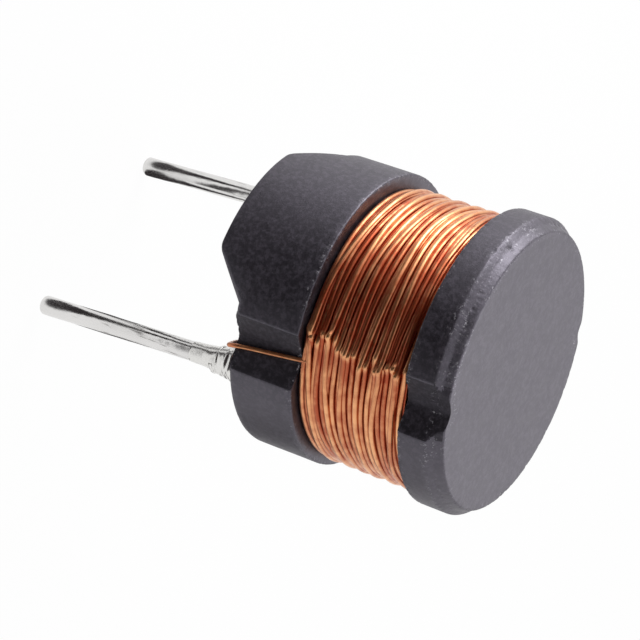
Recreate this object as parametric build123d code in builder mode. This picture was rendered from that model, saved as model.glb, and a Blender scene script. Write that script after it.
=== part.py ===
"""Radial-lead drum-core inductor: ferrite drum, enamelled wire winding and two soldered lead pins.

Frame: +Z runs up the drum's axis, away from the leads. The origin is on that axis, in the seating
plane, which is the underside of the stand-off bar. The pins stand in line along X, the near one at +X.
All sizes are in millimetres and all angles in degrees.
"""
from math import cos, radians, sin, tan
import os

from build123d import *

# Drum core
flange_diameter = 7.5
pin_flange_thickness = 1.78
window_height = 2.88
top_flange_thickness = 0.76
post_diameter = 3.4
post_root_chamfer = 0.15
flange_edge_chamfer = 0.13

# Raised face of the top flange: a narrow sloping land at the rim, then a steep step up to the face
rim_land_width = 0.15
rim_land_rise = 0.16
face_diameter = 7.0
face_step_rise = 0.21
face_edge_chamfer = 0.05

# Stand-off bar under the pin-side flange, square to the line of the pins
bar_height = 0.92
bar_width = 3.14
bar_flank_angle = 45.0
bar_edge_radius = 0.12
bar_root = 0.4

# Wire notches, one pair in line through both flanges
notch_azimuth = -32.5
notch_width = 1.46
notch_depth = 0.46
notch_root_radius = 0.2

# Lead pins and the blind holes that they are glued in
pin_pitch = 5.08
pin_diameter = 0.5
pin_tip_chamfer = 0.06
pin_reach_near = 5.55
pin_reach_far = 5.7
pin_lean = 2.8
pin_lean_azimuth = 32.0
pin_bend_drop = 0.85
pin_hole_clearance = 0.1
pin_hole_depth = 1.2
pin_end_gap = 0.1
adhesive_rise = 0.16

# Winding
wire_diameter = 0.14
winding_diameter = 7.05
winding_turns = 16
turn_groove_depth = 0.05
winding_clearance = 0.02

# Lead-outs: down a notch, across the pin side and round the pin
wire_clearance = 0.04
exit_inset = 0.125
exit_azimuth = -32.8
exit_start_rise = 0.3
notch_foot_gap = 0.21
notch_foot_azimuth = -29.2
notch_foot_drop = 0.12
lead_out_bend_radius = 0.2
wrap_pitch = 0.16
wrap_turns = 3
wrap_top_drop = 0.57
wrap_run_in = 0.6
wire_sides = 6

# Solder joint, its depths measured down the pin from its upper end
solder_top_drop = 0.5
solder_bead_radius = 0.45
solder_bead_depth = 0.45
solder_wrap_radius = 0.36
solder_wrap_depth = 0.8
solder_length = 1.4
solder_tip_film = 0.015

# Heights and radii that follow from the sizes above
bar_top = bar_height
window_bottom = bar_top + pin_flange_thickness
window_top = window_bottom + window_height
rim_top = window_top + top_flange_thickness
land_top = rim_top + rim_land_rise
face_top = land_top + face_step_rise
bar_foot_width = bar_width + 2 * bar_height / tan(radians(bar_flank_angle))

flange_radius = flange_diameter / 2
post_radius = post_diameter / 2
face_radius = face_diameter / 2
land_radius = flange_radius - rim_land_width
pin_radius = pin_diameter / 2
wire_radius = wire_diameter / 2
winding_radius = winding_diameter / 2
exit_radius = winding_radius - exit_inset
notch_foot_radius = flange_radius - notch_depth + notch_foot_gap
wrap_radius = pin_radius + wire_radius + wire_clearance / 2
pin_hole_radius = pin_radius + pin_hole_clearance
pin_up = Vector(
    -sin(radians(pin_lean)) * cos(radians(pin_lean_azimuth)),
    -sin(radians(pin_lean)) * sin(radians(pin_lean_azimuth)),
    cos(radians(pin_lean)),
)

leads = {
    "near": {"side": 1, "reach": pin_reach_near},
    "far": {"side": -1, "reach": pin_reach_far},
}


def pin_plane(side, drop):
    """Return the plane square to a pin's leaning end, a drop below the rim plane of its flange."""
    bend = Vector(side * pin_pitch / 2, 0, bar_top - pin_bend_drop)
    return Plane(origin=bend - pin_up * (drop - pin_bend_drop), x_dir=(1, 0, 0), z_dir=pin_up)


def about_pin(side, drop):
    """Return the plane that holds a pin's leaning end, for a profile that is turned about it."""
    square = pin_plane(side, drop)
    return Plane(origin=square.origin, x_dir=square.x_dir, z_dir=-square.y_dir)


def ridged_side(groove, crest, bottom, top, turns):
    """Return the points up one side of a wound layer's section, with a ridge at the middle of each turn."""
    pitch = (top - bottom) / turns
    points = []
    for turn in range(turns):
        points.append((groove, bottom + turn * pitch))
        points.append((crest, bottom + (turn + 0.5) * pitch))
    points.append((groove, top))
    return points


def about_axis(side, radius, azimuth, height):
    """Return a point by radius and azimuth, turned half round the drum for the far pin."""
    x = radius * cos(radians(azimuth))
    y = radius * sin(radians(azimuth))
    return Vector(side * x, side * y, height)


# Drum core: two flanges and the post, turned, with the stand-off bar, notches and pin holes
with BuildPart() as drum_core:
    with BuildSketch(Plane.XZ) as core_section:
        with BuildLine():
            Polyline(
                (0, bar_top),
                (flange_radius, bar_top),
                (flange_radius, window_bottom),
                (post_radius, window_bottom),
                (post_radius, window_top),
                (flange_radius, window_top),
                (flange_radius, rim_top),
                (land_radius, land_top),
                (face_radius, face_top),
                (0, face_top),
                close=True,
            )
        make_face()
        corners = core_section.vertices()
        chamfer([v for v in corners if abs(v.X - post_radius) < wire_radius], post_root_chamfer)
        chamfer(core_section.vertices().sort_by_distance((face_radius, face_top)).first, face_edge_chamfer)
        chamfer(core_section.vertices().sort_by_distance((flange_radius, bar_top)).first, flange_edge_chamfer)
    revolve(axis=Axis.Z)
    with BuildSketch(Plane.XZ) as bar_section:
        with BuildLine():
            Polyline(
                (-bar_width / 2, 0),
                (bar_width / 2, 0),
                (bar_foot_width / 2, bar_top),
                (bar_foot_width / 2, bar_top + bar_root),
                (-bar_foot_width / 2, bar_top + bar_root),
                (-bar_foot_width / 2, bar_top),
                close=True,
            )
        make_face()
        fillet(bar_section.vertices().group_by(Axis.Y)[0], bar_edge_radius)
    extrude(amount=flange_diameter, both=True)
    with BuildSketch(Plane.XY):
        Circle(flange_radius)
    extrude(amount=face_top, mode=Mode.INTERSECT)
    with BuildSketch(Plane.XY) as notch_section:
        flare = notch_width / 2 / notch_depth
        with PolarLocations(flange_radius, 2, start_angle=notch_azimuth):
            Polygon(
                (-notch_depth, 0),
                (notch_depth, -2 * notch_depth * flare),
                (notch_depth, 2 * notch_depth * flare),
                align=None,
            )
        roots = [v for v in notch_section.vertices() if v.center().length < flange_radius]
        fillet(roots, notch_root_radius)
    extrude(amount=face_top, mode=Mode.SUBTRACT)
    with BuildSketch(Plane.XY):
        with GridLocations(pin_pitch, 0, 2, 1):
            Circle(pin_hole_radius)
    extrude(amount=bar_top + pin_hole_depth, mode=Mode.SUBTRACT)

# Lead pins: round tinned wire, upright in its hole and slightly bent to one side under the wraps
pins = {}
for name, lead in leads.items():
    with BuildPart() as pin:
        with BuildLine() as pin_line:
            Polyline(
                pin_plane(lead["side"], bar_top + lead["reach"]).origin,
                pin_plane(lead["side"], pin_bend_drop).origin,
                (lead["side"] * pin_pitch / 2, 0, bar_top + pin_hole_depth - pin_end_gap),
            )
        with BuildSketch(Plane(origin=pin_line.line @ 0, z_dir=pin_line.line % 0)):
            Circle(pin_radius)
        sweep(path=pin_line.line, transition=Transition.RIGHT)
        chamfer(pin.edges().sort_by(Axis.Z)[0], pin_tip_chamfer)
    pins[name] = pin

# Adhesive: what fills each pin hole round the pin, with a low cone at the mouth
adhesives = {}
for name, lead in leads.items():
    hole_mouth = Vector(lead["side"] * pin_pitch / 2, 0, bar_top)
    with BuildPart() as adhesive:
        with BuildSketch(Plane(origin=hole_mouth, x_dir=(1, 0, 0), z_dir=(0, -1, 0))):
            with BuildLine():
                Polyline(
                    (0, -adhesive_rise),
                    (pin_radius + solder_tip_film, -adhesive_rise),
                    (pin_hole_radius, 0),
                    (pin_hole_radius, pin_hole_depth),
                    (0, pin_hole_depth),
                    close=True,
                )
            make_face()
        revolve(axis=Axis(hole_mouth, (0, 0, 1)))
        add(pins[name].part, mode=Mode.SUBTRACT)
    adhesives[name] = adhesive

# Winding: the coil with its turns as ridges, and at each end the lead-out and its turns round the pin
with BuildPart() as winding:
    coil_bottom = window_bottom + winding_clearance
    coil_top = window_top - winding_clearance
    coil_bore = post_radius + winding_clearance
    coil_groove = winding_radius - turn_groove_depth
    with BuildSketch(Plane.XZ) as coil_section:
        with BuildLine():
            Polyline(
                (coil_bore, coil_bottom),
                *ridged_side(coil_groove, winding_radius, coil_bottom, coil_top, winding_turns),
                (coil_bore, coil_top),
                close=True,
            )
        make_face()
        chamfer([v for v in coil_section.vertices() if v.X < coil_bore + wire_radius], post_root_chamfer)
    revolve(axis=Axis.Z)
    for lead in leads.values():
        side = lead["side"]
        wrap_plane = about_pin(side, wrap_top_drop)
        wrap_length = wrap_pitch * wrap_turns
        wrap_bore = wrap_radius - wire_radius
        wrap_crest = wrap_radius + wire_radius
        wrap_mouth = wrap_bore + turn_groove_depth
        with BuildSketch(wrap_plane):
            with BuildLine():
                Polyline(
                    (wrap_mouth, -wrap_length),
                    *ridged_side(wrap_crest - turn_groove_depth, wrap_crest, -wrap_length, 0, wrap_turns),
                    (wrap_mouth, 0),
                    (wrap_bore, -wrap_length / 2),
                    close=True,
                )
            make_face()
        revolve(axis=Axis(wrap_plane.origin, pin_up))
        top_turn = pin_plane(side, wrap_top_drop + wrap_pitch / 2)
        arrival = top_turn.origin - top_turn.x_dir * side * wrap_radius
        with BuildLine() as lead_out:
            FilletPolyline(
                about_axis(side, exit_radius, exit_azimuth, coil_bottom + exit_start_rise),
                about_axis(side, exit_radius, exit_azimuth, coil_bottom),
                about_axis(side, notch_foot_radius, notch_foot_azimuth, bar_top - notch_foot_drop),
                arrival - top_turn.y_dir * side * wrap_run_in,
                arrival,
                radius=lead_out_bend_radius,
            )
        with BuildSketch(Plane(origin=lead_out.line @ 0, z_dir=lead_out.line % 0)):
            RegularPolygon(wire_radius, wire_sides)
        sweep(path=lead_out.line)

# Solder joints: a bead at the wraps that thins to a film down the pin
solders = {}
for name, lead in leads.items():
    with BuildPart() as solder:
        solder_plane = about_pin(lead["side"], solder_top_drop)
        with BuildSketch(solder_plane):
            with BuildLine():
                Polyline(
                    (0, -solder_length),
                    (0, 0),
                    (pin_radius + wire_diameter, 0),
                    (solder_bead_radius, -solder_bead_depth / 2),
                    (solder_bead_radius, -solder_bead_depth),
                    (solder_wrap_radius, -solder_wrap_depth),
                    (pin_radius + solder_tip_film, -solder_length),
                    close=True,
                )
            make_face()
        revolve(axis=Axis(solder_plane.origin, pin_up))
        add(pins[name].part, mode=Mode.SUBTRACT)
        add(winding.part, mode=Mode.SUBTRACT)
    solders[name] = solder

# One labelled file for each piece
pieces = {"drum_core": drum_core, "winding": winding}
for name in leads:
    pieces[f"lead_pin_{name}"] = pins[name]
    pieces[f"pin_adhesive_{name}"] = adhesives[name]
    pieces[f"solder_joint_{name}"] = solders[name]

os.makedirs("parts", exist_ok=True)
for name, piece in pieces.items():
    piece.part.label = name
    export_step(piece.part, f"parts/{name}.step")
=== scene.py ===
"""Looks of a radial-lead drum-core inductor: ferrite drum, copper winding and two soldered lead pins.

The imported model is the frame: +Z runs up the drum's axis and the pins stand in line along X. Meshes are
shaped in millimetres and scaled to metres when a piece is finished. Angles are in degrees unless said.
"""

from dataclasses import dataclass, field
from enum import Enum
import logging
from math import acos, atan2, cos, degrees, exp, hypot, pi, radians, sin, sqrt, tan

import bmesh
import bpy
from mathutils import Matrix, Vector, noise


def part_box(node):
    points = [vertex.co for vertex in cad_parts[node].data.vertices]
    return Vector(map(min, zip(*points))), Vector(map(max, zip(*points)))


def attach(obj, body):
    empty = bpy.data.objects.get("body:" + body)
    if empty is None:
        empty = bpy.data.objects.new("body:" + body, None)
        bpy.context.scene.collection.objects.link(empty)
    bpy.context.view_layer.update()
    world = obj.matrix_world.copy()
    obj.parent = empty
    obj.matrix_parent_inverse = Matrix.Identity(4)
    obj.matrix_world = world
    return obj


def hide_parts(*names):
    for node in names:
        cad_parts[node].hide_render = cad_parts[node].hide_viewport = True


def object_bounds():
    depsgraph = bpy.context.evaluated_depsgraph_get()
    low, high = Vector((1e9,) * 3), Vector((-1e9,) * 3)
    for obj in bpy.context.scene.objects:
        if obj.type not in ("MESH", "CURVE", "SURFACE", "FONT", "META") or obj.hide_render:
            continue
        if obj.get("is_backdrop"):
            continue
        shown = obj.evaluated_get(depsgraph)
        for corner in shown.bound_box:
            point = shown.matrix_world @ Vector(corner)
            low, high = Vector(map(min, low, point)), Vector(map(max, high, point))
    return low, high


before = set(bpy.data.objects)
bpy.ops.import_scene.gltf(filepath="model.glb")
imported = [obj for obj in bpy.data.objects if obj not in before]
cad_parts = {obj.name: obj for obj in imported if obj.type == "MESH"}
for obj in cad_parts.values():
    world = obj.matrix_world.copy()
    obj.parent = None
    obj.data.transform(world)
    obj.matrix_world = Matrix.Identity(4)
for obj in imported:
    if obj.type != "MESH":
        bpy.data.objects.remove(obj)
log = logging.getLogger("inductor")

# Metres in a millimetre, the gap at which vertices merge, and the height of the pin-side flange's underside.
MM = 0.001
MERGE = 1e-5
UNDERSIDE = 0.92
ORIGIN = (0.0, 0.0, 0.0)
WHITE = (1.0, 1.0, 1.0)
HALF_TURN = 180.0

Triple = tuple[float, float, float]
Range = tuple[float, float]
Socket = bpy.types.NodeSocket


class Slot(Enum):
    """The names of the record's material slots."""

    FERRITE = "ferrite"
    COPPER = "enamelled_copper"
    TINNED = "tinned_wire"
    SOLDER = "solder"
    ADHESIVE = "adhesive"


class Side(Enum):
    """The two lead pins, by the end of the X axis that each stands at."""

    NEAR = 1
    FAR = -1

    @property
    def word(self) -> str:
        """The name that nodes and pieces of this side end with."""
        return self.name.lower()


def node_box(node: str) -> tuple[Vector, Vector]:
    """Read a CAD node's lowest and highest corners in millimetres.

    Args:
        node: The node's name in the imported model.

    Returns:
        The two corners.
    """
    low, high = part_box(node)
    return Vector(low) / MM, Vector(high) / MM


def soft_step(value: float, low: float, high: float) -> float:
    """Rise smoothly from 0 at low to 1 at high.

    Args:
        value: The place on the ramp.
        low: Where the ramp starts.
        high: Where it ends.

    Returns:
        The height of the ramp, from 0 to 1.
    """
    share = min(1.0, max(0.0, (value - low) / (high - low)))
    return share * share * (3.0 - 2.0 * share)


def bell(gap: float, width: float) -> float:
    """Return 1 where the gap is 0, falling off to either side over the width."""
    return exp(-((gap / width) ** 2))


def turn_gap(azimuth: float, centre: float) -> float:
    """Return the signed angle in degrees from centre to azimuth, the short way round."""
    return (azimuth - centre + 180.0) % 360.0 - 180.0


def azimuth_of(place: Vector) -> float:
    """Return a place's azimuth about Z in degrees."""
    return degrees(atan2(place.y, place.x))


def radius_of(place: Vector) -> float:
    """Return a place's distance from Z."""
    return hypot(place.x, place.y)


def draw_out(vert: bmesh.types.BMVert, factor: float) -> None:
    """Scale a vertex's distance from Z by a factor."""
    vert.co.x *= factor
    vert.co.y *= factor


class Sheet:
    """Short calls that add nodes to one shader node tree and join them."""

    mix_colour_inputs: tuple[int, int] = (6, 7)
    mix_colour_output: int = 2

    def __init__(self, tree: bpy.types.NodeTree) -> None:
        """Keep the tree that the calls work on."""
        self.tree = tree

    def add(self, kind: str, **settings: object) -> bpy.types.Node:
        """Add a node and set its properties.

        Args:
            kind: The node's type name, without the leading ShaderNode.
            settings: Properties of the node, by name.

        Returns:
            The new node.
        """
        node = self.tree.nodes.new("ShaderNode" + kind)
        for name, value in settings.items():
            setattr(node, name, value)
        return node

    def feed(self, socket: Socket, source: object) -> None:
        """Join an output to an input, or set the input to a plain value.

        Args:
            socket: The input.
            source: An output socket, or a number, colour or vector.
        """
        if isinstance(source, bpy.types.NodeSocket):
            self.tree.links.new(source, socket)
        elif socket.type == "RGBA":
            socket.default_value = (*source, 1.0)
        else:
            socket.default_value = source

    def math(self, operation: str, *values: object, clamp: bool = False) -> Socket:
        """Add a Math node.

        Args:
            operation: The node's operation.
            values: What its inputs get, in order.
            clamp: Whether the result is kept within 0 to 1.

        Returns:
            The node's output.
        """
        node = self.add("Math", operation=operation, use_clamp=clamp)
        for socket, value in zip(node.inputs, values):
            self.feed(socket, value)
        return node.outputs[0]

    def noise(self, place: object, scale: object, detail: float = 3.0, rough: float = 0.55) -> Socket:
        """Add a Noise Texture.

        Args:
            place: The coordinates that it reads.
            scale: How many times per metre it varies.
            detail: How many finer layers it has.
            rough: How strong the finer layers are.

        Returns:
            The texture's value.
        """
        node = self.add("TexNoise")
        for name, value in (("Vector", place), ("Scale", scale), ("Detail", detail), ("Roughness", rough)):
            self.feed(node.inputs[name], value)
        return node.outputs["Fac"]

    def ramp(self, value: object, low: float, high: float, start: float = 0.0, end: float = 1.0) -> Socket:
        """Map a value smoothly from one range to another.

        Args:
            value: The value.
            low: Where the value's range starts.
            high: Where it ends.
            start: The result at low.
            end: The result at high.

        Returns:
            The mapped value.
        """
        node = self.add("MapRange", interpolation_type="SMOOTHSTEP")
        self.feed(node.inputs["Value"], value)
        for name, number in (("From Min", low), ("From Max", high), ("To Min", start), ("To Max", end)):
            self.feed(node.inputs[name], number)
        return node.outputs["Result"]

    def span(self, mask: object, start: float, end: float) -> Socket:
        """Map a mask smoothly from 0 and 1 to start and end, and return it."""
        return self.ramp(mask, 0.0, 1.0, start, end)

    def blend(self, share: object, first: object, second: object) -> Socket:
        """Mix two colours.

        Args:
            share: How much of the second colour there is.
            first: The first colour, or a socket that gives it.
            second: The second colour, or a socket that gives it.

        Returns:
            The mixed colour.
        """
        node = self.add("Mix", data_type="RGBA")
        self.feed(node.inputs["Factor"], share)
        for number, colour in zip(self.mix_colour_inputs, (first, second)):
            self.feed(node.inputs[number], colour)
        return node.outputs[self.mix_colour_output]

    def place(self) -> Socket:
        """Return the Object coordinates."""
        return self.add("TexCoord").outputs["Object"]

    def group(self, tree: bpy.types.NodeTree, **values: object) -> bpy.types.Node:
        """Place a node group.

        Args:
            tree: The group.
            values: What its inputs get, by name.

        Returns:
            The group's node.
        """
        node = self.add("Group")
        node.node_tree = tree
        for name, value in values.items():
            self.feed(node.inputs[name], value)
        return node

    def put_out(self, kind: str, shader: Socket) -> None:
        """Add an output node and join a shader to its surface."""
        self.feed(self.add(kind).inputs["Surface"], shader)


class SharedEffects:
    """Node groups that several finishes use, each built once."""

    mottle_share: float = 0.12
    mottle_range: Range = (0.35, 0.65)
    scratch_stretch: Triple = (1.0, 1.0, 0.12)
    scratch_scale: float = 9000.0
    scratch_range: Range = (0.56, 0.70)
    patch_scale: float = 1300.0
    patch_range: Range = (0.42, 0.62)

    def __init__(self) -> None:
        """Build every group."""
        self.grain = self._grain()
        self.scuffs = self._scuffs()

    @staticmethod
    def _new(
        name: str, inputs: dict[str, str], outputs: dict[str, str]
    ) -> tuple[Sheet, bpy.types.Node, bpy.types.Node]:
        """Start a group with its named sockets.

        Args:
            name: The group's name.
            inputs: The socket type of each input, by name.
            outputs: The socket type of each output, by name.

        Returns:
            A sheet on the group's tree, the node that gives its inputs and the node that takes its outputs.
        """
        tree = bpy.data.node_groups.new(name, "ShaderNodeTree")
        for way, sockets in (("INPUT", inputs), ("OUTPUT", outputs)):
            for label, kind in sockets.items():
                tree.interface.new_socket(label, in_out=way, socket_type="NodeSocket" + kind)
        return Sheet(tree), tree.nodes.new("NodeGroupInput"), tree.nodes.new("NodeGroupOutput")

    def _grain(self) -> bpy.types.NodeTree:
        """Build fine pits and broad mottling, as on pressed ceramic or cast metal."""
        sheet, source, sink = self._new(
            "surface_grain", {"Vector": "Vector", "Scale": "Float"}, {"Height": "Float", "Mottle": "Float"}
        )
        place, scale = source.outputs["Vector"], source.outputs["Scale"]
        fine = sheet.noise(place, scale, detail=4.0, rough=0.65)
        broad_scale = sheet.math("MULTIPLY", scale, self.mottle_share)
        broad = sheet.noise(place, broad_scale, detail=2.0, rough=0.5)
        sheet.feed(sink.inputs["Height"], fine)
        sheet.feed(sink.inputs["Mottle"], sheet.ramp(broad, *self.mottle_range))
        return sheet.tree

    def _scuffs(self) -> bpy.types.NodeTree:
        """Build thin handling scratches that run along Z, broken up by patches."""
        sheet, source, sink = self._new("scuffs", {"Vector": "Vector", "Amount": "Float"}, {"Mask": "Float"})
        place = source.outputs["Vector"]
        drawn = sheet.add("Mapping")
        sheet.feed(drawn.inputs["Vector"], place)
        sheet.feed(drawn.inputs["Scale"], self.scratch_stretch)
        scratches = sheet.noise(drawn.outputs["Vector"], self.scratch_scale, detail=2.0, rough=0.6)
        patches = sheet.noise(place, self.patch_scale, detail=2.0)
        lines = sheet.ramp(scratches, *self.scratch_range)
        mask = sheet.math("MULTIPLY", lines, sheet.ramp(patches, *self.patch_range))
        sheet.feed(sink.inputs["Mask"], sheet.math("MULTIPLY", mask, source.outputs["Amount"]))
        return sheet.tree


def blank_material(name: str) -> tuple[bpy.types.Material, Sheet]:
    """Start a node material with an empty tree.

    Args:
        name: The material's name.

    Returns:
        The material and a sheet on its tree.
    """
    material = bpy.data.materials.new(name)
    material.use_nodes = True
    material.node_tree.nodes.clear()
    return material, Sheet(material.node_tree)


def new_material(name: str) -> tuple[bpy.types.Material, Sheet, bpy.types.Node]:
    """Start a node material with a Principled BSDF joined to its output.

    Args:
        name: The material's name.

    Returns:
        The material, a sheet on its tree and the BSDF.
    """
    material, sheet = blank_material(name)
    surface = sheet.add("BsdfPrincipled")
    sheet.put_out("OutputMaterial", surface.outputs["BSDF"])
    return material, sheet, surface


def add_bump(sheet: Sheet, surface: bpy.types.Node, height: object, strength: float, depth: float) -> None:
    """Feed a height to a surface's normal through a Bump node.

    Args:
        sheet: The material's sheet.
        surface: The BSDF.
        height: The height socket, from 0 to 1.
        strength: The Bump node's strength.
        depth: How deep a height of 1 is, in metres.
    """
    bump = sheet.add("Bump")
    for name, value in (("Strength", strength), ("Distance", depth), ("Height", height)):
        sheet.feed(bump.inputs[name], value)
    sheet.feed(surface.inputs["Normal"], bump.outputs["Normal"])


@dataclass(frozen=True)
class FerriteFinish:
    """Pressed and fired ferrite: dark violet grey, satin, with pale flecks where its edges have chipped; the
    flecks are partly the chips' own colour and partly painted glints.
    """

    name: str = "ferrite"
    dark: Triple = (0.002, 0.001, 0.002)
    light: Triple = (0.030, 0.025, 0.033)
    chip_and_glint: Triple = (0.42, 0.41, 0.44)
    gloss_tint: Triple = (0.90, 0.84, 1.0)
    ior: float = 1.93
    roughness: float = 0.48
    roughness_spread: float = 0.02
    grain_scale: float = 20000.0
    grain_strength: float = 0.6
    grain_depth: float = 0.010 * MM
    fleck_scale: float = 13000.0
    fleck_range: Range = (0.56, 0.68)
    blot_scale: float = 8000.0
    blot_range: Range = (0.42, 0.66)
    spot_rough: float = 0.7
    wear_attribute: str = "edge_wear"

    def material(self, effects: SharedEffects) -> bpy.types.Material:
        """Build the node material.

        Args:
            effects: The shared node groups.

        Returns:
            The material.
        """
        material, sheet, surface = new_material(self.name)
        grain = sheet.group(effects.grain, Vector=sheet.place(), Scale=self.grain_scale)
        wear = sheet.add("Attribute", attribute_name=self.wear_attribute).outputs["Fac"]
        spots = sheet.noise(sheet.place(), self.fleck_scale, rough=self.spot_rough)
        # Pale flecks on the worn edges: chipped ferrite, painted bright enough to stand in for glints as
        # well.
        flecks = sheet.math("MULTIPLY", sheet.ramp(spots, *self.fleck_range), wear, clamp=True)
        blots = sheet.noise(sheet.place(), self.blot_scale, rough=self.spot_rough)
        body = sheet.blend(sheet.ramp(blots, *self.blot_range), self.dark, self.light)
        sheet.feed(surface.inputs["Base Color"], sheet.blend(flecks, body, self.chip_and_glint))
        roughest = self.roughness + self.roughness_spread
        smoothest = self.roughness - self.roughness_spread
        sheet.feed(surface.inputs["Roughness"], sheet.span(grain.outputs["Mottle"], roughest, smoothest))
        sheet.feed(surface.inputs["IOR"], self.ior)
        sheet.feed(surface.inputs["Specular Tint"], self.gloss_tint)
        add_bump(sheet, surface, grain.outputs["Height"], self.grain_strength, self.grain_depth)
        return material


@dataclass(frozen=True)
class CopperFinish:
    """Enamelled copper wire: thin varnish over bright metal that differs a little from turn to turn, and is
    darker by a per-vertex tone that carries the turns' own tarnished colour together with painted shade and
    a painted highlight.
    """

    name: str = "enamelled_copper"
    metal: Triple = (0.92, 0.47, 0.22)
    tarnish_and_painted_shade: Triple = (0.42, 0.080, 0.028)
    metallic: float = 0.92
    roughness: Range = (0.28, 0.38)
    coat: float = 0.3
    coat_roughness: float = 0.22
    blotch_scale: float = 2600.0
    blotch_range: Range = (0.35, 0.65)
    blotch_share: float = 0.35
    grain_scale: float = 7000.0
    grain_strength: float = 0.25
    grain_depth: float = 0.006 * MM
    tone_and_light_attribute: str = "turn_tone_and_painted_light"

    def material(self, effects: SharedEffects) -> bpy.types.Material:
        """Build the node material.

        Args:
            effects: The shared node groups.

        Returns:
            The material.
        """
        material, sheet, surface = new_material(self.name)
        tone = sheet.add("Attribute", attribute_name=self.tone_and_light_attribute).outputs["Fac"]
        blotches = sheet.ramp(sheet.noise(sheet.place(), self.blotch_scale, detail=4.0), *self.blotch_range)
        # The tone mixes in the dark colour: randomly tarnished turns, plus painted shade and a painted
        # highlight from the winding.
        share = sheet.math("MULTIPLY_ADD", blotches, self.blotch_share, tone)
        sheet.feed(surface.inputs["Base Color"], sheet.blend(share, self.metal, self.tarnish_and_painted_shade))
        sheet.feed(surface.inputs["Metallic"], self.metallic)
        sheet.feed(surface.inputs["Roughness"], sheet.span(blotches, *self.roughness))
        sheet.feed(surface.inputs["Coat Weight"], self.coat)
        sheet.feed(surface.inputs["Coat Roughness"], self.coat_roughness)
        grain = sheet.group(effects.grain, Vector=sheet.place(), Scale=self.grain_scale)
        add_bump(sheet, surface, grain.outputs["Height"], self.grain_strength, self.grain_depth)
        return material


@dataclass(frozen=True)
class MetalFinish:
    """Bright tin or solder: clean metal with a soft grain and handling scuffs."""

    name: str
    metal: Triple
    scuffed: Triple
    roughness: Range
    grain_scale: float
    grain_depth: float
    scuff_amount: float
    scuff_roughness: float = 0.2
    grain_strength: float = 0.5

    def material(self, effects: SharedEffects) -> bpy.types.Material:
        """Build the node material.

        Args:
            effects: The shared node groups.

        Returns:
            The material.
        """
        material, sheet, surface = new_material(self.name)
        grain = sheet.group(effects.grain, Vector=sheet.place(), Scale=self.grain_scale)
        scuffs = sheet.group(effects.scuffs, Vector=sheet.place(), Amount=self.scuff_amount).outputs["Mask"]
        sheet.feed(surface.inputs["Base Color"], sheet.blend(scuffs, self.metal, self.scuffed))
        sheet.feed(surface.inputs["Metallic"], 1.0)
        rough = sheet.span(grain.outputs["Mottle"], *self.roughness)
        rougher = sheet.math("MULTIPLY_ADD", scuffs, self.scuff_roughness, rough)
        sheet.feed(surface.inputs["Roughness"], rougher)
        height = sheet.math("SUBTRACT", grain.outputs["Height"], scuffs)
        add_bump(sheet, surface, height, self.grain_strength, self.grain_depth)
        return material


@dataclass(frozen=True)
class AdhesiveFinish:
    """Dark cured epoxy round the pins: glossy, with a faint skin of dust."""

    name: str = "adhesive"
    body: Triple = (0.020, 0.017, 0.016)
    dusty: Triple = (0.060, 0.055, 0.052)
    roughness: Range = (0.22, 0.45)
    grain_scale: float = 5000.0
    grain_strength: float = 0.4
    grain_depth: float = 0.012 * MM

    def material(self, effects: SharedEffects) -> bpy.types.Material:
        """Build the node material.

        Args:
            effects: The shared node groups.

        Returns:
            The material.
        """
        material, sheet, surface = new_material(self.name)
        grain = sheet.group(effects.grain, Vector=sheet.place(), Scale=self.grain_scale)
        dust = grain.outputs["Mottle"]
        sheet.feed(surface.inputs["Base Color"], sheet.blend(dust, self.body, self.dusty))
        sheet.feed(surface.inputs["Roughness"], sheet.span(dust, *self.roughness))
        add_bump(sheet, surface, grain.outputs["Height"], self.grain_strength, self.grain_depth)
        return material


def new_object(mesh: bmesh.types.BMesh, name: str, material: bpy.types.Material) -> bpy.types.Object:
    """Make a mesh an object of the scene.

    Args:
        mesh: The piece, in metres. It is freed.
        name: The piece's name.
        material: Its material.

    Returns:
        The new object.
    """
    data = bpy.data.meshes.new(name)
    mesh.to_mesh(data)
    mesh.free()
    data.materials.append(material)
    piece = bpy.data.objects.new(name, data)
    bpy.context.scene.collection.objects.link(piece)
    return piece


def finish_piece(
    mesh: bmesh.types.BMesh,
    name: str,
    material: bpy.types.Material,
    nodes: tuple[str, ...],
    sharp: float = 40.0,
) -> bpy.types.Object:
    """Scale a mesh to metres, make it an object of the scene and state what it is.

    Args:
        mesh: The piece, in millimetres. It is freed.
        name: The piece's name.
        material: Its material.
        nodes: The CAD nodes that it stands for.
        sharp: Edges that turn by more than this many degrees stay sharp.

    Returns:
        The new object, which rides on the root body.
    """
    bmesh.ops.scale(mesh, vec=(MM, MM, MM), verts=mesh.verts)
    piece = new_object(mesh, name, material)
    faces = piece.data.polygons
    faces.foreach_set("use_smooth", [True] * len(faces))
    piece.data.set_sharp_from_angle(angle=radians(sharp))
    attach(piece, "root")
    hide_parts(*nodes)
    log.info("%s: %d faces, stands for %s", name, len(piece.data.polygons), ", ".join(nodes))
    return piece


def outline_edges(mesh: bmesh.types.BMesh, corners: list[Range], closed: bool) -> list[bmesh.types.BMVert]:
    """Draw a section in the XZ plane as vertices joined by edges.

    Args:
        mesh: The mesh to draw in.
        corners: The section's corners as radius and height.
        closed: Whether the last corner joins the first.

    Returns:
        The corner vertices in order.
    """
    verts = [mesh.verts.new((radius, 0.0, height)) for radius, height in corners]
    pairs = list(zip(verts, verts[1:]))
    if closed:
        pairs.append((verts[-1], verts[0]))
    for first, second in pairs:
        mesh.edges.new((first, second))
    return verts


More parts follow.
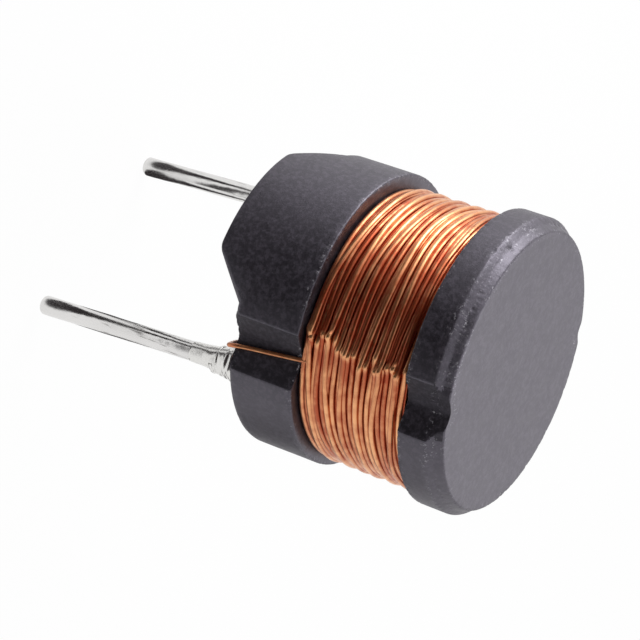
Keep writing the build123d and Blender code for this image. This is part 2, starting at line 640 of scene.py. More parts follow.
def round_corner(mesh: bmesh.types.BMesh, corner: bmesh.types.BMVert, offset: float, segments: int) -> None:
    """Round one corner of a section.

    Args:
        mesh: The mesh, which holds only the section.
        corner: The corner's vertex.
        offset: How far from the corner the rounding starts.
        segments: How many edges the rounding has.
    """
    bmesh.ops.bevel(
        mesh, geom=[corner], offset=offset, offset_type="OFFSET", segments=segments, profile=0.5,
        affect="VERTICES", material=-1,
    )


def divide_edges(mesh: bmesh.types.BMesh, spacing: float) -> None:
    """Divide each edge of a section so that no piece is longer than the spacing.

    Args:
        mesh: The mesh, which holds only the section.
        spacing: The longest edge to leave.
    """
    for edge in list(mesh.edges):
        cuts = int(edge.calc_length() / spacing)
        if cuts:
            bmesh.ops.subdivide_edges(mesh, edges=[edge], cuts=cuts)


def spin_section(mesh: bmesh.types.BMesh, steps: int) -> None:
    """Turn everything in a mesh once round Z and close the poles.

    Args:
        mesh: The mesh, which holds only the section.
        steps: How many steps the turn has.
    """
    section = list(mesh.verts) + list(mesh.edges)
    bmesh.ops.spin(
        mesh, geom=section, cent=ORIGIN, axis=(0, 0, 1), angle=2 * pi, steps=steps, use_merge=True
    )
    bmesh.ops.remove_doubles(mesh, verts=mesh.verts, dist=MERGE)
    bmesh.ops.recalc_face_normals(mesh, faces=mesh.faces)


@dataclass
class DrumCore:
    """The ferrite drum: two flanges and a post, with the stand-off bar and the wire notches.

    The pin holes aren't cut in it, because the adhesive fills them.
    """

    finish: bpy.types.Material
    # The notch walls' finish, a darker copy of the ferrite: painted shade.
    notch_shade_finish: bpy.types.Material
    node: str = "drum_core"
    columns: int = 600
    spacing: float = 0.13
    sharp: float = 55.0

    # The section, from the flange's underside up.
    pin_flange: float = 1.78
    window: float = 2.88
    top_flange: float = 0.76
    post_radius: float = 1.7
    land_width: float = 0.15
    land_rise: float = 0.16
    face_radius: float = 3.5
    rounding_steps: int = 3
    foot_rounding: float = 0.12
    window_rounding: float = 0.05
    rim_rounding: float = 0.035
    land_rounding: float = 0.03
    face_rounding: float = 0.05

    # The stand-off bar, its splayed foot and the cuts beside its edge.
    bar_height: float = UNDERSIDE
    bar_half: float = 1.57
    bar_foot_half: float = 2.49
    bar_reach: float = 0.125
    bar_cuts: Triple = (-0.06, 0.0, 0.05)
    bar_edge_lift: float = 0.03
    bar_edge_width: float = 0.05
    bar_tightening: float = 0.7

    # The two wire notches, half a turn apart.
    notch_azimuth: float = -32.5
    notch_half: float = 0.73
    notch_depth: float = 0.48
    notch_soften: float = 2.4
    notch_merge: float = 1e-4
    notch_upright: float = 0.6
    notch_post_gap: float = 0.1

    # How uneven the surface is, and how its edges have worn and chipped. The wear's reach and share each
    # have a least value and what a worn patch adds to it.
    swell: float = 0.006
    swell_scale: float = 0.9
    patch_scale: float = 1.6
    patch_shift: Triple = (3.0, 0.0, 0.0)
    patch_range: Range = (-0.35, 0.35)
    wear_reach: Range = (0.045, 0.06)
    wear_share: Range = (0.25, 0.65)
    chip_depth: float = 0.030
    chip_scales: Range = (9.0, 21.0)
    chip_fine_share: float = 0.6
    chip_least: float = 0.15

    radius: float = field(init=False)
    top: float = field(init=False)
    notch_mouth: float = field(init=False)

    def __post_init__(self) -> None:
        """Take the overall sizes from the frame."""
        low, high = node_box(self.node)
        self.radius = (high.x - low.x) / 2
        self.top = high.z
        self.notch_mouth = degrees(atan2(self.notch_half, self.radius))

    def _corners(self) -> list[Triple]:
        """Return the section's corners as radius, height and edge rounding."""
        floor = self.bar_height
        window_low = floor + self.pin_flange
        window_high = window_low + self.window
        rim = window_high + self.top_flange
        return [
            (0.0, floor, 0.0),
            (self.radius, floor, self.foot_rounding),
            (self.radius, window_low, self.window_rounding),
            (self.post_radius, window_low, 0.0),
            (self.post_radius, window_high, 0.0),
            (self.radius, window_high, self.window_rounding),
            (self.radius, rim, self.rim_rounding),
            (self.radius - self.land_width, rim + self.land_rise, self.land_rounding),
            (self.face_radius, self.top, self.face_rounding),
            (0.0, self.top, 0.0),
        ]

    def _notch_gap(self, place: Vector) -> float:
        """Return the signed angle in degrees from the middle of the nearer notch to a place."""
        azimuth = azimuth_of(place)
        return min((turn_gap(azimuth, self.notch_azimuth + turn) for turn in (0.0, HALF_TURN)), key=abs)

    def _reach(self, place: Vector) -> float:
        """Find how far out the ferrite reaches in a place's direction.

        Args:
            place: The place.

        Returns:
            The radius of the notch's wall, or the full radius beside the notches.
        """
        gap = self._notch_gap(place)
        if abs(gap) >= self.notch_mouth:
            return self.radius
        root = self.radius - self.notch_depth
        mouth_x = self.radius * cos(radians(self.notch_mouth))
        slope = tan(radians(min(self.notch_mouth, sqrt(gap * gap + self.notch_soften**2))))
        share = root * slope / (self.notch_half - (mouth_x - root) * slope)
        return min(self.radius, hypot(root + share * (mouth_x - root), share * self.notch_half))

    def _shape_bar(self, mesh: bmesh.types.BMesh) -> None:
        """Cut the underside along the bar's edges and lower it to the bar's section.

        Args:
            mesh: The drum's mesh.
        """
        reach = self.bar_height + self.bar_reach
        offsets = [self.bar_half + cut for cut in self.bar_cuts] + [self.bar_foot_half]
        for offset in offsets:
            for side in (-1, 1):
                low = [face for face in mesh.faces if max(vert.co.z for vert in face.verts) < reach]
                edges = dict.fromkeys(edge for face in low for edge in face.edges)
                verts = dict.fromkeys(vert for face in low for vert in face.verts)
                parts = [*low, *edges, *verts]
                bmesh.ops.bisect_plane(mesh, geom=parts, plane_co=(side * offset, 0, 0), plane_no=(1, 0, 0))
        width = self.bar_foot_half - self.bar_half
        for vert in mesh.verts:
            if vert.co.z >= reach:
                continue
            across = abs(vert.co.x)
            share = min(1.0, max(0.0, (self.bar_foot_half - across) / width))
            rounded = self.bar_edge_lift * bell(across - self.bar_half, self.bar_edge_width)
            tight = 1.0 - self.bar_tightening * share
            out = radius_of(vert.co)
            if out > self.radius - self.bar_reach:
                draw_out(vert, (self.radius - (self.radius - out) * tight) / out)
            vert.co.z = self.bar_height + (vert.co.z - self.bar_height) * tight
            vert.co.z -= self.bar_height * share - rounded

    def _shape_notches(self, mesh: bmesh.types.BMesh) -> None:
        """Draw the flanges in to the walls of the two wire notches.

        Args:
            mesh: The drum's mesh.
        """
        for vert in mesh.verts:
            out = radius_of(vert.co)
            limit = self._reach(vert.co)
            if out > limit:
                draw_out(vert, limit / out)
        bmesh.ops.remove_doubles(mesh, verts=mesh.verts, dist=self.notch_merge)

    def _weather(self, mesh: bmesh.types.BMesh) -> None:
        """Make the surface slightly uneven, chip its edges and store the wear for the material.

        Args:
            mesh: The drum's mesh.
        """
        layer = mesh.verts.layers.float.new(FerriteFinish.wear_attribute)
        mesh.normal_update()
        corners = [(radius, height) for radius, height, rounding in self._corners() if rounding > 0.0]
        shift = Vector(self.patch_shift)
        narrow, wider = self.wear_reach
        bare, patchy = self.wear_share
        coarse, fine = self.chip_scales
        for vert in mesh.verts:
            out = radius_of(vert.co) + (self.radius - self._reach(vert.co))
            gap = min(hypot(out - radius, vert.co.z - height) for radius, height in corners)
            patch = soft_step(noise.noise(vert.co * self.patch_scale + shift), *self.patch_range)
            edge = bell(gap, narrow + wider * patch)
            vert[layer] = edge * (bare + patchy * patch)
            swell = self.swell * noise.noise(vert.co * self.swell_scale)
            grain = noise.noise(vert.co * coarse) + self.chip_fine_share * noise.noise(vert.co * fine)
            chip = self.chip_depth * edge * max(0.0, grain - self.chip_least)
            vert.co += vert.normal * (swell - self.swell - chip)

    def _mark_notches(self, mesh: bmesh.types.BMesh) -> None:
        """Give the walls of the notches the second material, a darker, less glossy copy of the ferrite that
        paints shade into them.

        Args:
            mesh: The drum's mesh.
        """
        for face in mesh.faces:
            middle = face.calc_center_median()
            upright = abs(face.normal.z) < self.notch_upright
            on_flange = radius_of(middle) > self.post_radius + self.notch_post_gap
            if upright and on_flange and abs(self._notch_gap(middle)) < self.notch_mouth:
                face.material_index = 1

    def build(self) -> bpy.types.Object:
        """Build the drum and return it."""
        mesh = bmesh.new()
        corners = self._corners()
        verts = outline_edges(mesh, [corner[:2] for corner in corners], closed=False)
        for vert, (_, _, rounding) in zip(verts, corners):
            if rounding > 0.0:
                round_corner(mesh, vert, rounding, self.rounding_steps)
        divide_edges(mesh, self.spacing)
        spin_section(mesh, self.columns)
        self._shape_bar(mesh)
        self._shape_notches(mesh)
        self._weather(mesh)
        bmesh.ops.recalc_face_normals(mesh, faces=mesh.faces)
        self._mark_notches(mesh)
        piece = finish_piece(mesh, "drum", self.finish, (self.node,), sharp=self.sharp)
        piece.data.materials.append(self.notch_shade_finish)
        return piece


@dataclass(frozen=True)
class Turn:
    """One turn of the coil: its number, mean height, how far it strays from it and how far it lies out."""

    number: int
    height: float
    stray: float
    lift: float


@dataclass
class Winding:
    """The coil: a body of inner layers, an outer layer of turns and some turns that cross over it."""

    finish: bpy.types.Material
    core: DrumCore
    node: str = "winding"
    wire_radius: float = 0.077
    layer_radius: float = 3.38
    skin_depth: float = 0.1
    layer_turns: int = 19
    over_turns: int = 6
    over_first: int = 50
    over_lift: float = 0.055
    clearance: float = 0.03
    steps: int = 300
    sides: int = 8
    inner_spacing: float = 0.3
    sharp: float = 80.0

    # The coil leans to one side, and its turns bend over the ridge of an inner lead.
    lean: float = 0.05
    lean_azimuth: float = 41.0
    ridge_height: float = 0.085
    ridge_azimuths: Range = (-47.0, -42.0)
    ridge_rise: float = 1.4

    # How the turns wander: all together, each on its own and outwards.
    seed_steps: Triple = (7.31, 3.17, 1.73)
    sway: float = 0.10
    sway_scale: float = 1.1
    sway_drift: float = 0.6
    stray: float = 0.05
    over_stray: float = 0.16
    stray_scale: float = 1.3
    loose: float = 0.020
    loose_scale: float = 2.6

    # How each turn bends over the ridge.
    bend_jitter: float = 5.5
    bend_width: float = 1.7
    knuckle: float = 0.035
    knuckle_spread: float = 0.12

    # How dark a turn is: its own random tarnished tone, painted shade on its flanks and on one side of the
    # coil, and a painted highlight where it bends.
    tone: float = 0.20
    tone_spread: float = 0.7
    tone_shift: Triple = (5.0, 0.0, 0.0)
    # Painted shade on the flanks of each turn, where it meets the next.
    flank_painted_shade: float = 0.7
    # Painted shade: turns darker and redder round this azimuth, standing in for the dark surroundings they
    # reflect.
    painted_side_shade: float = 0.5
    painted_side_shade_azimuth: float = -60.0
    painted_side_shade_width: float = 26.0
    # Painted highlight: the bend over the ridge turns towards bright metal.
    bend_painted_highlight: float = 0.8

    low: float = field(init=False)
    high: float = field(init=False)
    bore: float = field(init=False)

    def __post_init__(self) -> None:
        """Take the window between the flanges from the core."""
        self.low = self.core.bar_height + self.core.pin_flange + self.clearance
        self.high = self.low + self.core.window - 2 * self.clearance
        self.bore = self.core.post_radius + self.clearance

    def _ridge_azimuth(self, height: float) -> float:
        """Return the azimuth of the ridge that the turns bend over, at a height."""
        first, last = self.ridge_azimuths
        return first + (last - first) * soft_step(height, self.low, self.low + self.ridge_rise)

    def _swell(self, azimuth: float, height: float, jitter: float) -> float:
        """Find how far the coil stands out of round at a place.

        Args:
            azimuth: The place's azimuth in degrees.
            height: Its height.
            jitter: How far this turn's own bend lies from the ridge, in degrees.

        Returns:
            The radial offset in millimetres.
        """
        lean = self.lean * cos(radians(azimuth - self.lean_azimuth))
        reach = degrees(acos(self.layer_radius / (self.layer_radius + self.ridge_height)))
        gap = abs(turn_gap(azimuth, self._ridge_azimuth(height) + jitter))
        bend = self.layer_radius * (1.0 / cos(radians(max(0.0, reach - gap))) - 1.0)
        return lean + bend

    def _plain_turn(self) -> bpy.types.Mesh:
        """Make one round ring of wire at height zero, which every turn starts from."""
        mesh = bmesh.new()
        ring = bmesh.ops.create_circle(mesh, segments=self.sides, radius=self.wire_radius)["verts"]
        bmesh.ops.rotate(mesh, verts=ring, cent=ORIGIN, matrix=Matrix.Rotation(pi / 2, 3, "X"))
        bmesh.ops.translate(mesh, verts=ring, vec=(self.layer_radius, 0, 0))
        spin_section(mesh, self.steps)
        data = bpy.data.meshes.new("plain_turn")
        mesh.to_mesh(data)
        mesh.free()
        return data

    def _add_turn(self, mesh: bmesh.types.BMesh, plain: bpy.types.Mesh, turn: Turn) -> None:
        """Add one turn as a ring of wire that wanders up and down and bends over the ridge.

        Args:
            mesh: The mesh to add it to.
            plain: The round ring that it starts from.
            turn: Where the turn lies and how far it strays.
        """
        before = len(mesh.verts)
        mesh.from_mesh(plain)
        mesh.verts.ensure_lookup_table()
        layer = mesh.verts.layers.float[CopperFinish.tone_and_light_attribute]
        seed = Vector([turn.number * step for step in self.seed_steps])
        knuckle_seed, loose_seed = seed * 2.1, seed * 1.3
        jitter = self.bend_jitter * noise.noise(seed)
        knuckle = max(0.0, self.knuckle + self.knuckle_spread * noise.noise(knuckle_seed))
        tone = max(0.0, self.tone + self.tone_spread * noise.noise(seed + Vector(self.tone_shift)))
        drift = Vector((0, 0, turn.height * self.sway_drift))
        lowest, highest = self.low + self.wire_radius, self.high - self.wire_radius
        for vert in mesh.verts[before:]:
            azimuth = azimuth_of(vert.co)
            across = Vector((vert.co.x, vert.co.y, 0.0))
            around = across.normalized()
            sway = self.sway * noise.noise(around * self.sway_scale + drift)
            stray = turn.stray * noise.noise(around * self.stray_scale + seed)
            level = min(highest, max(lowest, turn.height + sway + stray))
            bent = bell(turn_gap(azimuth, self._ridge_azimuth(level) + jitter), self.bend_width)
            loose = self.loose * noise.noise(around * self.loose_scale + loose_seed)
            out = self._swell(azimuth, level, jitter) + (turn.lift + loose) + knuckle * bent
            # Painted shade on the flanks, darkest where the wire turns away from the outside.
            flank_shade = self.flank_painted_shade * (1.0 - (across.length - self.layer_radius) / self.wire_radius)
            # Painted shade towards one side of the coil.
            side_shade = self.painted_side_shade * bell(turn_gap(azimuth, self.painted_side_shade_azimuth), self.painted_side_shade_width)
            vert.co = across + around * out + Vector((0, 0, vert.co.z + level))
            # The bend lightens the tone as a painted highlight.
            vert[layer] = (tone + flank_shade + side_shade) * (1.0 - self.bend_painted_highlight * bent)

    def build_inner(self) -> bpy.types.Object:
        """Build the body of the inner layers and return it."""
        mesh = bmesh.new()
        layer = mesh.verts.layers.float.new(CopperFinish.tone_and_light_attribute)
        skin = self.layer_radius - self.skin_depth * self.wire_radius
        section = [(self.bore, self.low), (skin, self.low), (skin, self.high), (self.bore, self.high)]
        outline_edges(mesh, section, closed=True)
        divide_edges(mesh, self.inner_spacing)
        spin_section(mesh, self.steps)
        for vert in mesh.verts:
            # Painted shade: the inner layers take the full dark colour, so the gaps between the outer turns
            # look shaded.
            vert[layer] = 1.0
            out = radius_of(vert.co)
            if out > self.bore + self.wire_radius:
                swell = self._swell(azimuth_of(vert.co), vert.co.z, 0.0) * out / skin
                draw_out(vert, 1.0 + swell / out)
        return finish_piece(mesh, "coil_inner_layers", self.finish, (self.node,))

    def build_turns(self) -> bpy.types.Object:
        """Build the turns that show and return them."""
        mesh = bmesh.new()
        mesh.verts.layers.float.new(CopperFinish.tone_and_light_attribute)
        lowest = self.low + self.wire_radius
        room = self.high - self.low - 2 * self.wire_radius
        turns = [
            Turn(number, lowest + room * number / (self.layer_turns - 1), self.stray, 0.0)
            for number in range(self.layer_turns)
        ]
        for number in range(self.over_turns):
            height = lowest + room * (number + 0.5) / self.over_turns
            turns.append(Turn(self.over_first + number, height, self.over_stray, self.over_lift))
        plain = self._plain_turn()
        for turn in turns:
            self._add_turn(mesh, plain, turn)
        bpy.data.meshes.remove(plain)
        name = "coil_outer_turns"
        return finish_piece(mesh, name, self.finish, (self.node,), sharp=self.sharp)


@dataclass
class Lead:
    """One lead: its pin, the wire that comes to it, the wraps, the solder joint and the adhesive."""

    side: Side
    pitch: float = 5.08
    rim: float = UNDERSIDE
    lean: float = 2.8
    lean_azimuth: float = 32.0
    bend_drop: float = 0.85
    columns: int = 48
    sharp: float = 80.0

    # The pin and its dents, each as depth and scale.
    pin_radius: float = 0.25
    pin_spacing: float = 0.06
    tip_rounding: float = 0.10
    tip_steps: int = 5
    dents: tuple[Range, ...] = ((0.006, 1.4), (0.003, 5.0))
    dent_sink: float = 0.003
    dent_shift: float = 9.0

    # The adhesive in the pin's hole.
    hole_radius: float = 0.35
    hole_depth: float = 1.15
    adhesive_spacing: float = 0.1
    adhesive_skin: float = 0.005

    # The wire and its wraps round the pin.
    wire_radius: float = 0.058
    wire_tone: float = 0.35
    wraps: float = 3.6
    wrap_sides: int = 12
    wrap_gap: float = 0.015
    wrap_pitch: float = 0.16
    wrap_top_drop: float = 0.57

    # The solder joint, its lumps and the ripple of the wraps under it.
    solder_top_drop: float = 0.46
    solder_columns: int = 56
    solder_spacing: float = 0.03
    solder_skin: float = 0.02
    lump: float = 0.11
    lump_scale: float = 3.2
    lump_shift: float = 4.0
    lump_thickness: float = 0.15
    ripple: float = 0.03
    ripple_range: Range = (0.36, 0.40)
    smooth_passes: int = 2
    smooth_factor: float = 0.4

    pin_top: float = field(init=False)
    pin_tip: float = field(init=False)
    root: Vector = field(init=False)

    def __post_init__(self) -> None:
        """Take the pin's ends from the frame."""
        low, high = node_box("lead_pin_" + self.side.word)
        self.pin_top = high.z
        self.pin_tip = low.z
        self.root = Vector((self.side.value * self.pitch / 2, 0.0, self.rim))

    def _lean(self) -> Matrix:
        """Return the turn that leans an upright pin to its real direction."""
        tilt_axis = Vector((-sin(radians(self.lean_azimuth)), cos(radians(self.lean_azimuth)), 0.0))
        return Matrix.Rotation(-radians(self.lean), 3, tilt_axis)

    def _bend_point(self) -> Vector:
        """Return the point where the pin starts to lean."""
        return self.root - Vector((0.0, 0.0, self.bend_drop))

    def _place(self, mesh: bmesh.types.BMesh) -> None:
        """Move a mesh that was built about Z, with the rim plane at zero, on to the leaning pin.

        Args:
            mesh: The mesh to move.
        """
        bmesh.ops.translate(mesh, verts=mesh.verts, vec=(0.0, 0.0, self.bend_drop))
        bmesh.ops.rotate(mesh, verts=mesh.verts, cent=ORIGIN, matrix=self._lean())
        bmesh.ops.translate(mesh, verts=mesh.verts, vec=self._bend_point())

    def _at(self, drop: float, out: float, azimuth: float) -> Vector:
        """Return a point by its drop down the leaning pin, its distance from the pin and its azimuth."""
        local = Vector((out * cos(radians(azimuth)), out * sin(radians(azimuth)), self.bend_drop - drop))
        return self._lean() @ local + self._bend_point()

    def build_pin(self, finish: bpy.types.Material) -> bpy.types.Object:
        """Build the pin, with a rounded tip and a few dents, and return it.

        Args:
            finish: The pin's material.

        Returns:
            The pin.
        """
        mesh = bmesh.new()
        reach = (self.rim - self.pin_tip) / cos(radians(self.lean))
        top = self.pin_top - self.rim
        corners = [(0.0, -reach), (self.pin_radius, -reach), (self.pin_radius, top), (0.0, top)]
        tip = outline_edges(mesh, corners, closed=False)[1]
        round_corner(mesh, tip, self.tip_rounding, self.tip_steps)
        divide_edges(mesh, self.pin_spacing)
        spin_section(mesh, self.columns)
        shift = Vector((self.side.value * self.dent_shift, 0.0, 0.0))
        lean, bend_point = self._lean(), self._bend_point()
        for vert in mesh.verts:
            seed = vert.co + shift
            dent = sum(depth * noise.noise(seed * scale) for depth, scale in self.dents)
            draw_out(vert, 1.0 + (dent - self.dent_sink) / self.pin_radius)
            place = vert.co + Vector((0.0, 0.0, self.bend_drop))
            vert.co = (lean @ place if place.z < 0.0 else place) + bend_point
        node = "lead_pin_" + self.side.word
        return finish_piece(mesh, "pin_" + self.side.word, finish, (node,))

    def build_solder(self, finish: bpy.types.Material) -> bpy.types.Object:
        """Build the lumpy solder joint and return it.

        Args:
            finish: The solder's material.

        Returns:
            The solder joint.
        """
        mesh = bmesh.new()
        skin = self.pin_radius - self.solder_skin
        levels = [
            (skin, 0.0), (0.33, 0.0), (0.42, -0.10), (0.445, -0.22), (0.41, -0.36), (0.375, -0.50),
            (0.345, -0.66), (0.315, -0.84), (0.285, -1.05), (0.268, -1.30), (0.258, -1.44), (skin, -1.46),
        ]
        outline_edges(mesh, [(radius, drop - self.solder_top_drop) for radius, drop in levels], closed=True)
        divide_edges(mesh, self.solder_spacing)
        spin_section(mesh, self.solder_columns)
        shift = Vector((self.side.value * self.lump_shift, 0.0, 0.0))
        for vert in mesh.verts:
            out = radius_of(vert.co)
            if out > self.pin_radius:
                swell = self.lump * noise.noise(vert.co * self.lump_scale + shift)
                wave = cos(2 * pi * (vert.co.z + self.wrap_top_drop) / self.wrap_pitch)
                ripple = self.ripple * soft_step(out, *self.ripple_range) * wave
                draw_out(vert, 1.0 + swell * (out - skin) / self.lump_thickness - ripple)
        for _ in range(self.smooth_passes):
            outer = [vert for vert in mesh.verts if radius_of(vert.co) > self.pin_radius + self.solder_skin]
            bmesh.ops.smooth_vert(
                mesh, verts=outer, factor=self.smooth_factor,
                use_axis_x=True, use_axis_y=True, use_axis_z=True,
            )
        self._place(mesh)
        node = "solder_joint_" + self.side.word
        name = "solder_" + self.side.word
        return finish_piece(mesh, name, finish, (node,), sharp=self.sharp)

    def build_adhesive(self, finish: bpy.types.Material) -> bpy.types.Object:
        """Build the adhesive that fills the pin hole, with a meniscus up the pin, and return it.

        Args:
            finish: The adhesive's material.

        Returns:
            The adhesive.
        """
        mesh = bmesh.new()
        skin = self.pin_radius - self.adhesive_skin
        hole = self.hole_radius
        section = [
            (skin, -0.16), (skin + 0.012, -0.16), (skin + 0.03, -0.07), (skin + 0.06, -0.025),
            (hole + 0.05, 0.002), (hole, 0.04), (hole, self.hole_depth), (skin, self.hole_depth),
        ]
        outline_edges(mesh, section, closed=True)
        divide_edges(mesh, self.adhesive_spacing)
        spin_section(mesh, self.columns)
        bmesh.ops.translate(mesh, verts=mesh.verts, vec=self.root)
        node = "pin_adhesive_" + self.side.word
        return finish_piece(mesh, "adhesive_" + self.side.word, finish, (node,))

    def _wire(
        self, points: list[Vector], name: str, finish: bpy.types.Material
    ) -> bpy.types.Object:
        """Make a round wire along a smooth line, as a closed mesh.

        Args:
            points: The line's control points, in millimetres.
            name: The piece's name.
            finish: Its material.

        Returns:
            The wire.
        """
        curve = bpy.data.curves.new(name, "CURVE")
        curve.dimensions = "3D"
        curve.bevel_depth = self.wire_radius
        curve.bevel_resolution = 3
        curve.use_fill_caps = True
        spline = curve.splines.new("NURBS")
        spline.points.add(len(points) - 1)
        for control, point in zip(spline.points, points):
            control.co = (*point, 1.0)
        spline.order_u = 3
        spline.use_endpoint_u = True
        spline.resolution_u = 6
        drawn = bpy.data.objects.new(name, curve)
        data = bpy.data.meshes.new_from_object(drawn)
        mesh = bmesh.new()
        mesh.from_mesh(data)
        bpy.data.objects.remove(drawn)
        bpy.data.curves.remove(curve)
        bpy.data.meshes.remove(data)
        bmesh.ops.remove_doubles(mesh, verts=mesh.verts, dist=MERGE)
        bmesh.ops.recalc_face_normals(mesh, faces=mesh.faces)
        layer = mesh.verts.layers.float.new(CopperFinish.tone_and_light_attribute)
        for vert in mesh.verts:
            vert[layer] = self.wire_tone
        return finish_piece(mesh, name, finish, ("winding",), sharp=self.sharp)

    def build_wire(self, copper: bpy.types.Material, tin: bpy.types.Material) -> list[bpy.types.Object]:
        """Build the wire from the coil to the pin and its wraps, and return both.

        Args:
            copper: The bare run's material.
            tin: The wraps' material.

        Returns:
            The lead-out and the wraps.
        """
        turn = 0.0 if self.side is Side.NEAR else HALF_TURN

        def about(radius: float, azimuth: float, height: float) -> Vector:
            """Return a point by radius, azimuth and height, turned to this pin's side of the drum."""
            angle = radians(azimuth + turn)
            return Vector((radius * cos(angle), radius * sin(angle), height))

        out = self.pin_radius + self.wire_radius + self.wrap_gap
        arrival = self.wrap_top_drop + self.wrap_pitch / 2
        wrapped = []
        for step in range(int(self.wraps * self.wrap_sides) + 1):
            share = step / self.wrap_sides
            azimuth = turn + HALF_TURN - 360.0 * share
            wrapped.append(self._at(arrival + share * self.wrap_pitch, out, azimuth))
        first = wrapped[0]
        ahead = self._lean() @ Vector((0.0, -float(self.side.value), 0.0))
        run = [
            about(3.38, -33.2, 3.05),
            about(3.42, -32.9, 2.75),
            about(3.42, -32.2, 2.45),
            about(3.44, -31.0, 1.80),
            about(3.47, -30.0, 1.20),
            about(3.50, -29.2, 0.86),
            about(3.40, -27.6, 0.66),
            first + ahead * 0.60 + Vector((0.0, 0.0, 0.06)),
            first + ahead * 0.25,
            first,
        ]
        return [
            self._wire(run, "lead_out_" + self.side.word, copper),
            self._wire(wrapped, "wraps_" + self.side.word, tin),
        ]


@dataclass(frozen=True)
class Flag:
    """A dark card that only gloss sees, flat on the floor or upright at its near edge.

    It runs out from a place on X, start_x, towards the azimuth. Its sizes are in millimetres.
    """

    azimuth: float
    away: float
    length: float
    width: float
    upright: bool = False
    start_x: float = 0.0


@dataclass(frozen=True)
class Lamp:
    """A square soft lamp: its name, direction from the drum, distance, side and power in watts."""

    name: str
    toward: Triple
    away: float
    size: float
    power: float


@dataclass
class Studio:
    """The camera at the photograph's angle, the pale floor, the soft lamps and the dark cards."""

    azimuth: float = 32.0
    elevation: float = 26.024
    roll: float = -109.775
    distance: float = 60.0
    shift_right: float = 0.42225
    shift_up: float = 0.35925
    rim: float = UNDERSIDE
    lens: float = 135.75
    far_clip: float = 10.0
    world_strength: float = 0.35
    aim_height: float = 3.5
    lamps: tuple[Lamp, ...] = (
        Lamp("key_lamp", toward=(-0.80, -0.56, 0.30), away=70.0, size=50.0, power=0.052),
        Lamp("top_lamp", toward=(-0.30, 0.45, 0.90), away=90.0, size=60.0, power=0.026),
    )
    floor_gap: float = 0.03
    floor_size: float = 900.0
    floor_paper: Triple = (0.90, 0.90, 0.90)
    floor_whiteness: float = 0.97
    flag_lift: float = 0.01
    flag_black: Triple = (0.015, 0.010, 0.012)
    flags: tuple[Flag, ...] = (
        Flag(azimuth=-62.0, away=34.0, length=46.0, width=42.0, upright=True),
        Flag(azimuth=-66.0, away=9.0, length=27.0, width=48.0),
        Flag(azimuth=60.0, away=13.0, length=7.0, width=11.0),
        Flag(azimuth=60.0, away=22.0, length=8.0, width=12.0),
        Flag(azimuth=-104.0, away=0.5, length=10.5, width=2.7, start_x=2.7),
        Flag(azimuth=-100.0, away=0.5, length=10.5, width=2.2, start_x=-2.4),
        Flag(azimuth=40.0, away=0.5, length=9.0, width=2.6, start_x=-2.4),
    )

    def place_camera(self) -> None:
        """Make the camera and set it as the scene's."""
        data = bpy.data.cameras.new("camera")
        data.lens = self.lens
        data.clip_start = MM
        data.clip_end = self.far_clip
        camera = bpy.data.objects.new("camera", data)
        bpy.context.scene.collection.objects.link(camera)
        turned = Matrix.Rotation(radians(self.azimuth), 4, "Z")
        level = turned @ Matrix.Rotation(radians(90.0 - self.elevation), 4, "X")
        offset = level @ Vector((self.shift_right, self.shift_up, self.distance))
        rolled = level @ Matrix.Rotation(-radians(self.roll), 4, "Z")
        place = (offset + Vector((0.0, 0.0, self.rim))) * MM
        camera.matrix_world = Matrix.Translation(place) @ rolled
        bpy.context.scene.camera = camera

    @staticmethod
    def _looked_at(sheet: Sheet) -> Socket:
        """Return 1 for the rays of the camera, of gloss and through glass, and 0 for the rest."""
        rays = sheet.add("LightPath").outputs
        seen = sheet.math("MAXIMUM", rays["Is Camera Ray"], rays["Is Glossy Ray"])
        return sheet.math("MAXIMUM", seen, rays["Is Transmission Ray"])

    def light_world(self) -> None:
        """Make the world soft grey light that looks white to the camera, in gloss and through glass."""
        world = bpy.data.worlds.new("studio")
        world.use_nodes = True
        world.node_tree.nodes.clear()
        sheet = Sheet(world.node_tree)
        back = sheet.add("Background")
        sheet.feed(back.inputs["Color"], WHITE)
        strength = sheet.span(self._looked_at(sheet), self.world_strength, 1.0)
        sheet.feed(back.inputs["Strength"], strength)
        sheet.put_out("OutputWorld", back.outputs["Background"])
        bpy.context.scene.world = world

    def lay_floor(self, height: float) -> None:
        """Lay the pale floor, which looks white to the camera and still takes a soft shadow.

        Args:
            height: The floor's height in metres.
        """
        mesh = bmesh.new()
        bmesh.ops.create_grid(mesh, x_segments=1, y_segments=1, size=self.floor_size / 2 * MM)
        bmesh.ops.translate(mesh, verts=mesh.verts, vec=(0.0, 0.0, height))
        material, sheet = blank_material("floor_white")
        paper = sheet.add("BsdfDiffuse")
        sheet.feed(paper.inputs["Color"], self.floor_paper)
        glow = sheet.add("Emission")
        sheet.feed(glow.inputs["Color"], WHITE)
        sheet.feed(glow.inputs["Strength"], 1.0)
        white_share = sheet.math("MULTIPLY", self._looked_at(sheet), self.floor_whiteness)
        mix = sheet.add("MixShader")
        parts = (white_share, paper.outputs["BSDF"], glow.outputs["Emission"])
        for socket, part in zip(mix.inputs, parts):
            sheet.feed(socket, part)
        sheet.put_out("OutputMaterial", mix.outputs["Shader"])
        floor = new_object(mesh, "floor", material)
        floor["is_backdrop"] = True

    def hang_lamp(self, lamp: Lamp) -> None:
        """Hang a square soft lamp that points at the drum.

        Args:
            lamp: The lamp.
        """
        data = bpy.data.lights.new(lamp.name, "AREA")
        data.size = lamp.size * MM
        data.energy = lamp.power
        light = bpy.data.objects.new(lamp.name, data)
        bpy.context.scene.collection.objects.link(light)
        direction = Vector(lamp.toward).normalized()
        light.location = (direction * lamp.away + Vector((0.0, 0.0, self.aim_height))) * MM
        light.rotation_euler = direction.to_track_quat("Z", "Y").to_euler()

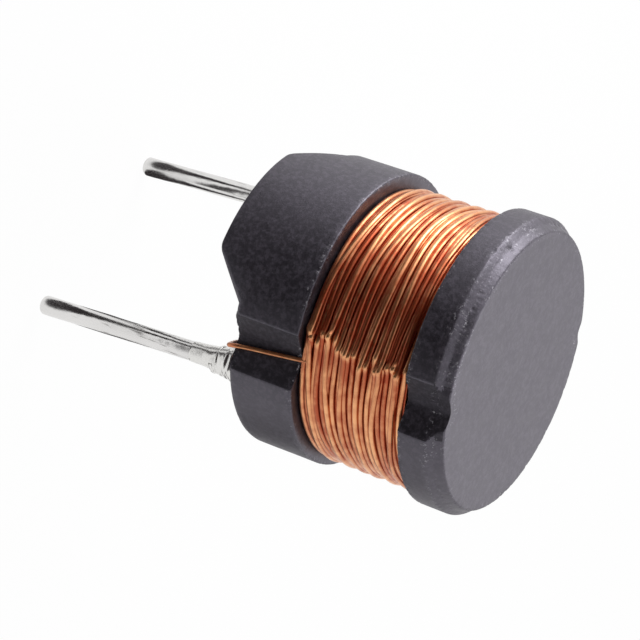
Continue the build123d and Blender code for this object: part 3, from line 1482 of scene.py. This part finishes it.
    def stand_flags(self, floor: float) -> None:
        """Stand and lay the dark cards, which only gloss can see.

        Args:
            floor: The floor's height in metres.
        """
        mesh = bmesh.new()
        for flag in self.flags:
            verts = bmesh.ops.create_grid(mesh, x_segments=1, y_segments=1, size=0.5)["verts"]
            bmesh.ops.scale(mesh, vec=(flag.length, flag.width, 1.0), verts=verts)
            bmesh.ops.translate(mesh, verts=verts, vec=(flag.length / 2, 0.0, 0.0))
            if flag.upright:
                bmesh.ops.rotate(mesh, verts=verts, cent=ORIGIN, matrix=Matrix.Rotation(-pi / 2, 3, "Y"))
            bmesh.ops.translate(mesh, verts=verts, vec=(flag.away, 0.0, 0.0))
            turned = Matrix.Rotation(radians(flag.azimuth), 3, "Z")
            bmesh.ops.rotate(mesh, verts=verts, cent=ORIGIN, matrix=turned)
            bmesh.ops.translate(mesh, verts=verts, vec=(flag.start_x, 0.0, 0.0))
        bmesh.ops.scale(mesh, vec=(MM, MM, MM), verts=mesh.verts)
        bmesh.ops.translate(mesh, verts=mesh.verts, vec=(0.0, 0.0, floor + self.flag_lift * MM))
        material, sheet, surface = new_material("flag_black")
        sheet.feed(surface.inputs["Base Color"], self.flag_black)
        sheet.feed(surface.inputs["Roughness"], 1.0)
        flags = new_object(mesh, "dark_flags", material)
        flags.visible_camera = False
        flags.visible_shadow = False
        flags.visible_diffuse = False
        flags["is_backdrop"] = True

    def build(self, lowest: float) -> None:
        """Set up the whole studio.

        Args:
            lowest: The object's lowest point in metres.
        """
        floor = lowest - self.floor_gap * MM
        self.place_camera()
        self.light_world()
        self.lay_floor(floor)
        for lamp in self.lamps:
            self.hang_lamp(lamp)
        self.stand_flags(floor)


def main() -> None:
    """Build every piece, dress it and set up the studio."""
    logging.basicConfig(level=logging.INFO, format="%(relativeCreated)d ms: %(message)s")
    cad_box = [list(corner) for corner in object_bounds()]
    bpy.context.scene.view_settings.view_transform = "Standard"
    effects = SharedEffects()
    ferrite = FerriteFinish().material(effects)
    # A darker, less glossy copy of the ferrite, painted shade for the notch walls.
    notch_shaded_ferrite = FerriteFinish(
        name="ferrite_notch_painted_shade", light=(0.026, 0.021, 0.028), ior=1.58, roughness=0.60
    ).material(effects)
    copper = CopperFinish().material(effects)
    tinned = MetalFinish(
        name="tinned_wire", metal=(0.74, 0.73, 0.72), scuffed=(0.36, 0.35, 0.34),
        roughness=(0.16, 0.26), grain_scale=5000.0, grain_depth=0.006 * MM, scuff_amount=0.9,
    ).material(effects)
    solder = MetalFinish(
        name="solder", metal=(0.76, 0.75, 0.73), scuffed=(0.58, 0.57, 0.56),
        roughness=(0.16, 0.28), grain_scale=4000.0, grain_depth=0.012 * MM, scuff_amount=0.3,
    ).material(effects)
    adhesive = AdhesiveFinish().material(effects)

    drum = DrumCore(ferrite, notch_shaded_ferrite)
    drum.build()
    coil = Winding(copper, drum)
    coil.build_inner()
    coil.build_turns()
    for side in Side:
        lead = Lead(side)
        lead.build_pin(tinned)
        lead.build_wire(copper, solder)
        lead.build_solder(solder)
        lead.build_adhesive(adhesive)
    Studio().build(min(cad_box[0][2], cad_box[1][2]))


if __name__ == "__main__":
    main()
